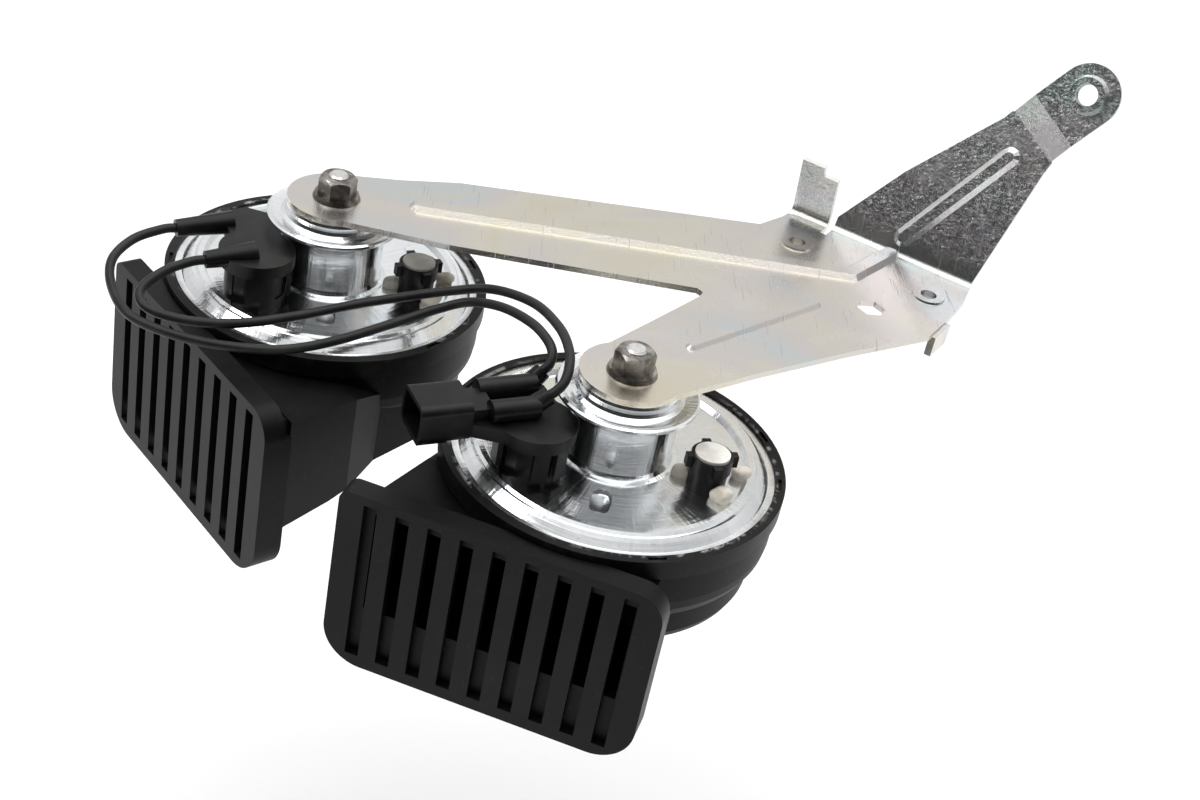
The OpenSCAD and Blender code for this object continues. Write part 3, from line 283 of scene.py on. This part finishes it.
flat_tint = zinc.ramp(
    hues, (0.30, (0.64, 0.59, 0.48)), (0.42, (0.65, 0.62, 0.54)), (0.50, (0.63, 0.59, 0.56)),
    (0.58, (0.57, 0.60, 0.60)), (0.70, (0.65, 0.61, 0.51)))
fold_tint = zinc.ramp(
    hues + (crystals - 0.5) * 0.5,
    (0.30, (0.74, 0.73, 0.64)), (0.42, (0.52, 0.63, 0.63)), (0.50, (0.70, 0.70, 0.68)),
    (0.58, (0.58, 0.56, 0.61)), (0.70, (0.78, 0.76, 0.70)))
rubs = clouds.rise(0.55, 0.78)
sheet = zinc.mix(folded, flat_tint, fold_tint)
# Painted highlight: those upward faces of the tail and pad are painted near white.
sheet = zinc.mix(upward_painted_highlight * 0.85, sheet, (0.94, 0.94, 0.92))
sheet = zinc.mix(rubs * 0.3, sheet, (0.55, 0.54, 0.52))
sheet = zinc.mix(hairs * 0.55, sheet, (0.34, 0.33, 0.31))
zinc.wear(
    ["bracket"],
    Base_Color=sheet,
    Roughness=0.22 + rubs * 0.12 + grain * 0.06 + hairs * 0.2,
    Normal=zinc.bump(crystals * (0.3 + folded * 1.25) + grain * 0.2
                     + clouds * (0.6 + folded * 2.4) - hairs * 0.5, 0.4, 0.3 * mm))

# The threads of its three extruded holes: two tapped collars in the plate and one
# in the pad. Each is a fine V ridge, whose crest stands just inside the bore. The
# collars in the plate have their places, in millimetres, from the right horn's axis.
thread_rise = 0.2 * mm
ridge_share = 0.34
steps_a_turn = 28
tapped_r = 2.5 * mm
tapped_pitch = 1.0 * mm
pad_r = 3.4 * mm
pad_pitch = 1.25 * mm
collar_foot_z = 22.9
collar_a = (53.4, 87.6)
collar_b = (92.4, 66.9)
pad_lean = math.radians(20.0)
pad_heading = math.radians(239.3)
pad_axis = Vector((math.cos(pad_lean) * math.cos(pad_heading),
                   math.cos(pad_lean) * math.sin(pad_heading), math.sin(pad_lean)))
pad_thread_foot = -1.3 * mm


def deselect_all():
    bpy.ops.object.select_all(action="DESELECT")


def copy_of(piece, name):
    """A copy of a new piece, with a mesh of its own."""
    twin = piece.copy()
    twin.data = piece.data.copy()
    twin.name = name
    bpy.context.scene.collection.objects.link(twin)
    return twin


def settle(piece, material):
    """Bakes a new piece's place into its mesh, gives it its finish and joins it on."""
    deselect_all()
    piece.select_set(True)
    bpy.context.view_layer.objects.active = piece
    bpy.ops.object.transform_apply(location=True, rotation=True, scale=True)
    piece.data.materials.clear()
    piece.data.materials.append(material)
    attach(piece, "root")


def cut_thread(name, bore, pitch, turns):
    """A ridge that winds up from the origin, along Z, on the wall of a bore."""
    ridge = ridge_share * pitch
    deselect_all()
    bpy.ops.mesh.primitive_circle_add(
        vertices=3, radius=ridge, location=(bore - thread_rise + ridge, 0, 0),
        rotation=(math.radians(90), math.radians(-90), 0))
    thread = bpy.context.object
    thread.name = name
    bpy.ops.object.transform_apply(location=True, rotation=True, scale=True)
    winding = thread.modifiers.new("winding", "SCREW")
    winding.axis = "Z"
    winding.screw_offset = pitch
    winding.iterations = turns
    winding.steps = steps_a_turn
    winding.render_steps = steps_a_turn
    bpy.ops.object.modifier_apply(modifier="winding")
    bpy.ops.object.mode_set(mode="EDIT")
    bpy.ops.mesh.select_all(action="SELECT")
    bpy.ops.mesh.fill_holes(sides=4)
    bpy.ops.mesh.normals_make_consistent(inside=False)
    bpy.ops.object.mode_set(mode="OBJECT")
    return thread


thread_a = cut_thread("thread_plate_a", tapped_r, tapped_pitch, 4)
thread_b = copy_of(thread_a, "thread_plate_b")
thread_a.location = right_horn + Vector((*collar_a, collar_foot_z)) * mm
thread_b.location = right_horn + Vector((*collar_b, collar_foot_z)) * mm
thread_pad = cut_thread("thread_pad", pad_r, pad_pitch, 3)
thread_pad.location = pad_thread_foot * pad_axis
thread_pad.rotation_euler = pad_axis.to_track_quat("Z", "X").to_euler()
for thread in (thread_a, thread_b, thread_pad):
    settle(thread, zinc.material)

# The flanged nuts that clamp the bracket on the studs: dull brownish steel, brighter
# where a spanner has rubbed them.


def both(*names):
    """The nodes of both horns that bear these names."""
    return [name + "_" + side for name in names for side in ("right", "left")]


dull = Finish("nut_steel", Metallic=1.0)
stains = dull.noise(230.0, 4.0, 0.6, 0.5)
soot = dull.noise(70.0, 3.0)
dull.wear(
    both("flange_nut"),
    Base_Color=dull.mix(stains.rise(0.42, 0.68), (0.15, 0.138, 0.125), (0.46, 0.43, 0.395)),
    Roughness=0.22 + soot * 0.2,
    Normal=dull.bump(stains, 0.35, 0.2 * mm))

# The magnets' iron: each core with its fixing stud, whose cut end shows in the nut,
# and inside the horn the armature with its rivet. All are turned and left bright.
iron = Finish("turned_iron", Metallic=1.0)
cuts = iron.noise(800.0, 3.0, 0.6)
iron.wear(
    both("core_stud", "armature", "armature_rivet"),
    Base_Color=iron.mix(cuts, (0.52, 0.51, 0.50), (0.82, 0.82, 0.80)),
    Roughness=0.2 + cuts * 0.25,
    Normal=iron.bump(cuts, 0.5, 0.2 * mm))

# Cover plates and pot caps: deep-drawn steel with bright zinc. The drawing leaves
# faint rings and rays round the pot, and the crimped edge is stained. The oval dimple
# punched in front of the pot has a hollow floor.
left_turn = 14.0
stain_from = 43.6 * mm
stain_to = 45.2 * mm
dimple_turn = -99.0
dimple_at = 26.0 * mm
dimple_half_l = 5.6 * mm
dimple_half_w = 2.9 * mm
for side, horn, turned in (("right", right_horn, 0.0), ("left", left_horn, left_turn)):
    bright = Finish("cover_zinc_" + side, Metallic=1.0)
    across, along, rise = bright.axes(bright.lay(location=tuple(-horn)))
    radius = (across * across + along * along) ** 0.5
    turn = along.math("ARCTAN2", across)
    polar = bright.node("ShaderNodeCombineXYZ", {
        "X": radius * 900.0, "Y": turn * 2.0, "Z": rise * 900.0})
    rays = bright.node("ShaderNodeCombineXYZ", {
        "X": radius * 30.0, "Y": turn * 16.0, "Z": rise * 40.0})
    rings = bright.noise(1.0, 2.0, place=polar)
    streaks = bright.noise(1.0, 3.0, 0.6, 0.3, place=rays)
    haze = bright.noise(45.0, 4.0, 0.6, 0.5)
    specks = bright.noise(900.0, 2.0).rise(0.66, 0.74)
    edge = radius.rise(stain_from, stain_to)
    heading = math.radians(dimple_turn + turned)
    outward = across * math.cos(heading) + along * math.sin(heading) - dimple_at
    sideways = along * math.cos(heading) - across * math.sin(heading)
    dent = 1.0 - ((outward * (1.0 / dimple_half_l)) ** 2.0
                  + (sideways * (1.0 / dimple_half_w)) ** 2.0).rise(0.0, 1.0)
    tint = bright.mix(streaks, (0.78, 0.81, 0.83), (0.94, 0.95, 0.96))
    tint = bright.mix(haze.rise(0.5, 0.8) * 0.35, tint, (0.60, 0.60, 0.57))
    stain = edge * haze.rise(0.35, 0.6) * 0.7 + specks * 0.2
    bright.wear(
        ["cover_plate_" + side, "pot_cap_" + side],
        Base_Color=bright.mix(stain, tint, (0.30, 0.29, 0.27)),
        Roughness=0.08 + streaks * 0.1 + haze * 0.08 + edge * 0.12,
        Normal=bright.bump(rings * 0.5 + streaks * 1.4 + haze * 1.2 - dent * 14.0, 0.35,
                           0.25 * mm))

# Upper halves of the housings: glass-filled black plastic with a fine grain. The rim
# holds the plate's crimped edge, which has left pale flecks along it.
crimp_r = 46.1 * mm
crimp_w = 1.0 * mm
for side, horn in (("right", right_horn), ("left", left_horn)):
    rim = Finish("rim_plastic_" + side, Specular_IOR_Level=0.16)
    across, along, rise = rim.axes(rim.lay(location=tuple(-horn)))
    radius = (across * across + along * along) ** 0.5
    grain = rim.noise(1600.0)
    scuffs = rim.noise(240.0, 4.0, 0.6, 0.6)
    patches = rim.noise(24.0, 2.0)
    crimp = (radius.near(crimp_r, crimp_w) * rise.rise(0.2 * mm, 0.7 * mm)
             * scuffs.rise(0.5, 0.62) * patches.rise(0.42, 0.55))
    black = rim.mix(scuffs.rise(0.5, 0.8), (0.004, 0.004, 0.004), (0.016, 0.015, 0.014))
    rim.wear(
        ["trumpet_cover_" + side],
        Base_Color=rim.mix(crimp * 0.8, black, (0.52, 0.52, 0.50)),
        Roughness=0.3 + scuffs * 0.2 + grain * 0.05,
        Normal=rim.bump(grain * 0.5 + scuffs, 0.22, 0.15 * mm))

# Lower halves, with the drums and the ducts: the same plastic, with soft flow marks,
# grey dust and a few upright scuffs from the mould and from handling.
shell = Finish("housing_plastic", Specular_IOR_Level=0.13)
grain = shell.noise(1600.0)
flow = shell.noise(16.0, 4.0, 0.6, 0.8)
dust = shell.noise(500.0, 2.0).rise(0.66, 0.78)
scuff = shell.noise(1.0, 2.0, place=shell.lay(turn=(0, math.radians(30), math.radians(20)),
                                             scale=(60.0, 60.0, 900.0))).rise(0.7, 0.78)
shell.wear(
    both("trumpet_body"),
    Base_Color=shell.mix(dust * 0.3 + scuff * 0.3 + flow.rise(0.55, 0.9) * 0.3,
                         (0.003, 0.003, 0.003), (0.035, 0.034, 0.032)),
    Roughness=0.34 + flow * 0.18 + grain * 0.05,
    Normal=shell.bump(grain * 0.6 + flow * 0.8, 0.2, 0.15 * mm))

# Mouth covers: thinner black mouldings with slots, which snap over the ducts. They
# are smoother than the housings, with grey dust in places.
cover = Finish("mouth_plastic", Specular_IOR_Level=0.14)
grain = cover.noise(1300.0)
flow = cover.noise(22.0, 3.0, 0.6, 0.5)
dust = cover.noise(450.0, 3.0).rise(0.62, 0.8)
cover.wear(
    both("mouth_grille"),
    Base_Color=cover.mix(dust * 0.3 + flow.rise(0.5, 0.8) * 0.3, (0.004, 0.004, 0.004),
                         (0.030, 0.029, 0.027)),
    Roughness=0.36 + flow * 0.14,
    Normal=cover.bump(grain * 0.6 + flow * 0.5, 0.18, 0.12 * mm))

# Terminal blocks, connectors and the adjusters' holders: moulded black nylon, a little
# glossier than the housings. Blocks and holders are set in the cover plates, and the
# connectors are pushed over the blocks.
nylon = Finish("connector_nylon", Specular_IOR_Level=0.22)
pores = nylon.noise(1200.0)
sheen = nylon.noise(60.0, 3.0, 0.6, 0.4)
nylon.wear(
    both("connector", "terminal_block", "adjuster_holder"),
    Base_Color=nylon.mix(sheen.rise(0.45, 0.8), (0.004, 0.004, 0.004),
                         (0.018, 0.017, 0.016)),
    Roughness=0.2 + sheen * 0.2 + pores * 0.05,
    Normal=nylon.bump(pores * 0.6 + sheen * 0.6, 0.2, 0.12 * mm))

# Blades in the terminal blocks, sockets in the connectors and pins in the plug: all
# of tinned brass strip or rod, wiped bright where they slide into each other.
tin = Finish("tinned_brass", Metallic=1.0)
wipes = tin.noise(1.0, 3.0, place=tin.lay(scale=(900.0, 900.0, 60.0)))
tin.wear(
    ["plug_pins"] + both("terminal_blades", "receptacles"),
    Base_Color=tin.mix(wipes, (0.62, 0.60, 0.52), (0.85, 0.84, 0.78)),
    Roughness=0.2 + wipes * 0.2,
    Normal=tin.bump(wipes, 0.2, 0.1 * mm))

# A cream plastic disc is pressed into each adjuster's holder, over the screw, once
# the tone has been set. It is a little chalky.
cream = Finish("cream_disc", Specular_IOR_Level=0.5)
chalk = cream.noise(420.0, 3.0, 0.6)
blotch = cream.noise(150.0, 2.0)
cream.wear(
    both("adjuster_cap"),
    Base_Color=cream.mix(blotch.rise(0.4, 0.65), (0.60, 0.58, 0.54), (0.82, 0.80, 0.75)),
    Roughness=0.3 + chalk * 0.2,
    Normal=cream.bump(chalk, 0.3, 0.15 * mm))

# Sealing wax: three cream drops round each holder's foot, dabbed on by hand after
# the horn was tuned. Each has set as a lump, a little higher on one side.
wax = Finish("sealing_wax", Specular_IOR_Level=0.4)
lumps = wax.noise(330.0, 3.0, 0.55, 0.4)
pits = wax.noise(1100.0, 2.0)
wax.wear(
    Base_Color=wax.mix(lumps.rise(0.35, 0.65), (0.66, 0.60, 0.50), (0.86, 0.82, 0.74)),
    Roughness=0.38 + lumps * 0.2,
    Normal=wax.bump(lumps + pits * 0.3, 0.4, 0.3 * mm))
# Each drop's turn in degrees, its reach from the holder and its size in millimetres,
# and the seed of its lumps.
drops = [(183.0, 7.0, 2.6, 3), (325.0, 7.2, 2.8, 8), (52.0, 11.6, 2.6, 5)]
drop_stray = 1.5 * mm
drop_lift = 0.45
drop_stretch = (1.25, 1.0, 1.05)
smooth_levels = 2
low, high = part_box("adjuster_cap_right")
holder = Vector(((low[0] + high[0]) / 2, (low[1] + high[1]) / 2,
                 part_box("wax_seal_right")[0][2])) - right_horn
lumps_made = []
for turn, reach, size, seed in drops:
    heading = math.atan2(holder.y, holder.x) + math.radians(turn)
    deselect_all()
    bpy.ops.mesh.primitive_ico_sphere_add(
        subdivisions=3, radius=size * mm,
        location=holder + Vector((math.cos(heading) * reach, math.sin(heading) * reach,
                                  drop_lift * size)) * mm)
    lump = bpy.context.object
    bpy.ops.object.mode_set(mode="EDIT")
    bpy.ops.mesh.select_all(action="SELECT")
    bpy.ops.transform.vertex_random(offset=drop_stray, seed=seed)
    bpy.ops.mesh.vertices_smooth(factor=0.5, repeat=3)
    bpy.ops.transform.resize(value=drop_stretch)
    bpy.ops.object.mode_set(mode="OBJECT")
    smoother = lump.modifiers.new("smoother", "SUBSURF")
    smoother.levels = smooth_levels
    smoother.render_levels = smooth_levels
    bpy.ops.object.modifier_apply(modifier="smoother")
    bpy.ops.object.shade_smooth()
    lumps_made.append(lump)
deselect_all()
for lump in lumps_made:
    lump.select_set(True)
bpy.context.view_layer.objects.active = lumps_made[0]
bpy.ops.object.join()
bpy.ops.object.transform_apply(location=True, rotation=True, scale=True)
seal = bpy.context.object
seal.name = "wax_drops_right"
twin = copy_of(seal, "wax_drops_left")
seal.location = right_horn
twin.location = left_horn
twin.rotation_euler = (0, 0, math.radians(left_turn))
for side, piece in (("right", seal), ("left", twin)):
    settle(piece, wax.material)
    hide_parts("wax_seal_" + side)

# The coil inside each pot: enamelled copper wire wound on a grey nylon spool, which
# sits on the core.
winding = Finish("copper_winding", Metallic=1.0)
turns = winding.noise(1.0, 1.0, place=winding.lay(scale=(40.0, 40.0, 2600.0)))
winding.wear(
    both("coil_winding"),
    Base_Color=winding.mix(turns, (0.42, 0.16, 0.07), (0.72, 0.34, 0.16)),
    Roughness=0.25 + turns * 0.2,
    Normal=winding.bump(turns, 0.6, 0.2 * mm))

spool = Finish("spool_nylon")
bloom = spool.noise(300.0, 3.0)
spool.wear(
    both("coil_bobbin"),
    Base_Color=spool.mix(bloom, (0.04, 0.045, 0.05), (0.09, 0.095, 0.10)),
    Roughness=0.4 + bloom * 0.2,
    Normal=spool.bump(bloom, 0.2, 0.1 * mm))

# The diaphragm: thin rolled spring steel, clamped by the plate's edge on a black
# paper gasket, which seals it to the housing.
spring = Finish("spring_steel", Metallic=1.0)
rolled = spring.noise(1.0, 3.0, place=spring.lay(scale=(40.0, 1400.0, 1400.0)))
spring.wear(
    both("diaphragm"),
    Base_Color=spring.mix(rolled, (0.42, 0.43, 0.45), (0.62, 0.63, 0.64)),
    Roughness=0.25 + rolled * 0.2,
    Normal=spring.bump(rolled, 0.15, 0.1 * mm))

gasket = Finish("gasket_paper")
fibres = gasket.noise(700.0, 4.0, 0.65)
gasket.wear(
    both("diaphragm_gasket"),
    Base_Color=gasket.mix(fibres, (0.015, 0.015, 0.015), (0.05, 0.048, 0.045)),
    Roughness=0.6 + fibres * 0.3,
    Normal=gasket.bump(fibres, 0.4, 0.1 * mm))

# The interrupter: brass strips that open and close with the armature, held on a
# carrier of brown laminate, and the brass adjusting screw that sets them.
laminate = Finish("laminate")
layers = laminate.noise(1.0, 3.0, place=laminate.lay(scale=(200.0, 200.0, 5000.0)))
laminate.wear(
    both("contact_carrier"),
    Base_Color=laminate.mix(layers, (0.10, 0.05, 0.025), (0.20, 0.11, 0.06)),
    Roughness=0.4 + layers * 0.2,
    Normal=laminate.bump(layers, 0.2, 0.1 * mm))

brass = Finish("contact_brass", Metallic=1.0)
tarnish = brass.noise(260.0, 3.0, 0.6)
brass.wear(
    both("contact_spring", "fixed_contact", "adjuster_screw"),
    Base_Color=brass.mix(tarnish, (0.42, 0.28, 0.12), (0.74, 0.56, 0.28)),
    Roughness=0.25 + tarnish * 0.2,
    Normal=brass.bump(tarnish, 0.2, 0.1 * mm))

# The studio: a pale floor well below the horns, which hang from their bracket, one
# broad light above, a weaker one on the left, and a room that is dark behind the
# camera and bright behind the horns.
floor_size = 8.0
floor_drop = 0.16
deselect_all()
bpy.ops.mesh.primitive_plane_add(size=floor_size,
                                 location=(0, 1.0, cad_box[0][2] - floor_drop))
floor = bpy.context.object
floor.name = "floor"
paper = Finish("paper", Specular_IOR_Level=0.0)
tone = paper.noise(3.0, 2.0)
floor.data.materials.append(paper.wear(
    Base_Color=paper.mix(tone, (0.94, 0.94, 0.94), (0.96, 0.96, 0.96)),
    Roughness=0.9 + tone * 0.1))

world = bpy.data.worlds.new("studio")
bpy.context.scene.world = world
world.use_nodes = True
room = Nodes(world.node_tree)
across, ahead, up = room.axes(room.node("ShaderNodeTexCoord", {}, output="Generated"))
behind = (ahead * -1.0 - across * 0.2).rise(-0.35, 0.45)
shade = behind * (1.0 - up.rise(0.45, 0.9)) * 0.96
level = (0.80 + up.rise(0.1, 0.7) * 0.35) * (1.0 - shade)
backdrop = room.tree.nodes["Background"]
room.tree.links.new(level.socket, backdrop.inputs["Color"])
backdrop.inputs["Strength"].default_value = 0.85

target = Vector((-0.12, -0.05, -0.1))
for name, place, width, depth, power in (
        ("top_light", Vector((-0.1, 0.3, 2.2)), 2.6, 2.6, 38.0),
        ("side_light", Vector((-1.3, -0.3, 1.0)), 0.5, 0.9, 6.0)):
    lamp = bpy.data.lights.new(name, "AREA")
    lamp.shape = "RECTANGLE"
    lamp.size = width
    lamp.size_y = depth
    lamp.energy = power
    stand = bpy.data.objects.new(name, lamp)
    stand.location = place
    stand.rotation_euler = (target - place).to_track_quat("-Z", "Y").to_euler()
    bpy.context.scene.collection.objects.link(stand)

bpy.context.scene.view_settings.view_transform = "Standard"
